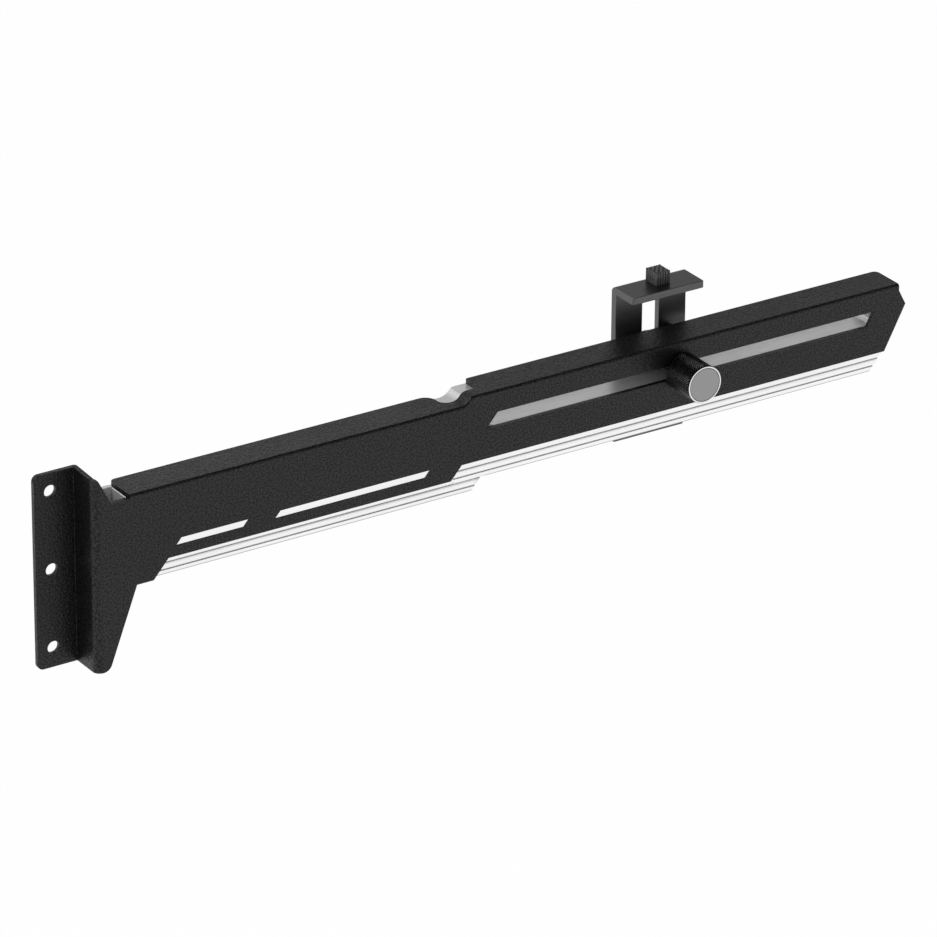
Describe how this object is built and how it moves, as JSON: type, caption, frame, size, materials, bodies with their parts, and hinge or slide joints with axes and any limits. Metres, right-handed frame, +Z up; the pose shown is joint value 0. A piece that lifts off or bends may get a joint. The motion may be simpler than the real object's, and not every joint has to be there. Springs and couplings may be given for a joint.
{
  "type": "graphics card support bracket",
  "caption": "Folded black sheet bracket that screws to a computer case's slot rail; a padded arm, clamped by a knurled knob in a long slot, carries the free end of a heavy card.",
  "frame": {"origin": "middle screw hole of the case flange, on the face that lies against the case", "axes": "+X along the bar to its free end, +Y from the bar's front to the case side, +Z up, as the bracket hangs in use"},
  "size_m": [0.2443, 0.0288, 0.0614],
  "materials": {
    "powder_coat": "fine textured black powder coat",
    "satin_silver": "satin silver anodised",
    "black_anodised": "satin black anodised",
    "knob_aluminium": "black anodised, with a bright cut edge",
    "black_rubber": "matte",
    "black_nylon": "matte",
    "black_steel": "blackened steel",
    "zinc_steel": "bright zinc plate"
  },
  "bodies": {
    "bracket": {"folded_bracket": "powder_coat", "backing_rail": "satin_silver", "weld_stud_1": "zinc_steel", "weld_stud_2": "zinc_steel", "weld_stud_3": "zinc_steel", "weld_stud_4": "zinc_steel", "weld_stud_5": "zinc_steel", "rail_nut_1": "zinc_steel", "rail_nut_2": "zinc_steel", "rail_nut_3": "zinc_steel", "rail_nut_4": "zinc_steel", "rail_nut_5": "zinc_steel"},
    "carriage": {"slide_block": "black_nylon", "clamp_screw": "black_steel", "screw_washer": "black_steel"},
    "arm": {"support_arm": "black_anodised", "arm_pad": "black_rubber"},
    "knob": {"knob": "knob_aluminium"}
  },
  "joints": [
    {"name": "carriage_slide", "type": "slide", "parent": "bracket", "child": "carriage", "axis": [1, 0, 0], "range_m": [-0.0515, 0.0549]},
    {"name": "arm_height", "type": "slide", "parent": "carriage", "child": "arm", "axis": [0, 0, 1], "range_m": [-0.0092, 0.0128]},
    {"name": "knob_turn", "type": "hinge", "parent": "carriage", "child": "knob", "pos_m": [0.172, -0.0155, 0.0133], "axis": [0, -1, 0], "range_deg": [0, 360]}
  ]
}
